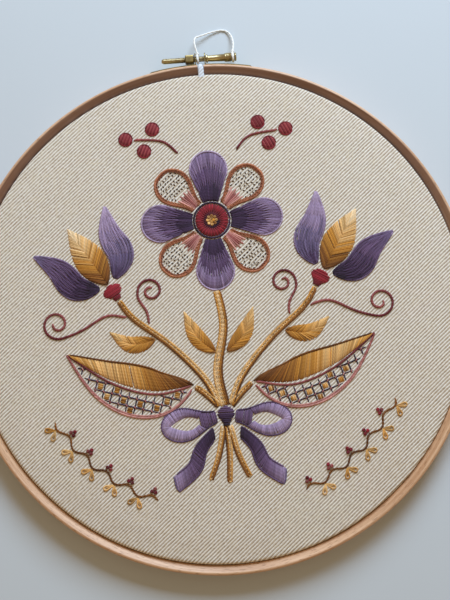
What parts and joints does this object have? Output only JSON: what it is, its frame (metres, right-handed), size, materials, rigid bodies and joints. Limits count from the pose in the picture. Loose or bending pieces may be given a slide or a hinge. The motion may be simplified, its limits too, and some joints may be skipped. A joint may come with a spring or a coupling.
{
  "type": "crewel embroidery panel in a wooden hoop",
  "caption": "Wool crewel embroidery of a flower bouquet tied with a bow on natural linen twill, stretched in a round split wooden hoop that a brass thumb screw tightens.",
  "frame": {"origin": "middle of the base that the hoop lies on, its brass lugs included", "axes": "+Z out of the cloth's face, +Y towards the screw at the top of the design, +X to the right"},
  "size_m": [0.2676, 0.2901, 0.0136],
  "materials": {
    "wood": "smooth, thinly waxed",
    "linen": "natural linen twill",
    "brass": "plain, lightly worn",
    "thread": "matt white cotton",
    "purple_wool": "matt twisted wool",
    "lilac_wool": "matt twisted wool",
    "gold_wool": "matt twisted wool",
    "straw_wool": "matt twisted wool",
    "rose_wool": "matt twisted wool",
    "crimson_wool": "matt twisted wool",
    "rust_wool": "matt twisted wool"
  },
  "bodies": {
    "hoop": {"berry_left_1": "crimson_wool", "berry_left_2": "crimson_wool", "berry_left_3": "crimson_wool", "berry_right_1": "crimson_wool", "berry_right_2": "crimson_wool", "berry_right_3": "crimson_wool", "big_leaf_left_filled": "gold_wool", "big_leaf_left_open": "rose_wool", "big_leaf_right_filled": "gold_wool", "big_leaf_right_open": "rose_wool", "bow_knot": "purple_wool", "bow_loop_left": "lilac_wool", "bow_loop_right": "lilac_wool", "bow_tail_left": "purple_wool", "bow_tail_right": "purple_wool", "cloth": "linen", "flower_eye": "crimson_wool", "hanging_thread": "thread", "inner_ring": "wood", "lug_left": "brass", "lug_right": "brass", "nut": "brass", "outer_ring": "wood", "petal_1": "purple_wool", "petal_2": "rust_wool", "petal_3": "purple_wool", "petal_4": "rust_wool", "petal_5": "purple_wool", "petal_6": "rust_wool", "petal_7": "purple_wool", "petal_8": "rust_wool", "small_leaf_left_1": "gold_wool", "small_leaf_left_2": "gold_wool", "small_leaf_right_1": "gold_wool", "small_leaf_right_2": "gold_wool", "sprig_left": "rose_wool", "sprig_right": "rose_wool", "stem_ends": "straw_wool", "stems": "straw_wool", "tack_left": "brass", "tack_right": "brass", "tendril_left_1": "rose_wool", "tendril_left_2": "rose_wool", "tendril_right_1": "rose_wool", "tendril_right_2": "rose_wool", "thread_tie_left": "thread", "thread_tie_right": "thread", "tulip_left_cup": "crimson_wool", "tulip_left_heart": "gold_wool", "tulip_left_inner": "lilac_wool", "tulip_left_outer": "purple_wool", "tulip_right_cup": "crimson_wool", "tulip_right_heart": "gold_wool", "tulip_right_inner": "lilac_wool", "tulip_right_outer": "purple_wool"},
    "screw": {"thumb_screw": "brass"}
  },
  "joints": [
    {"name": "screw_turn", "type": "hinge", "parent": "hoop", "child": "screw", "pos_m": [0, 0.1348, 0.006], "axis": [1, 0, 0], "range_deg": [-180, 180]}
  ]
}
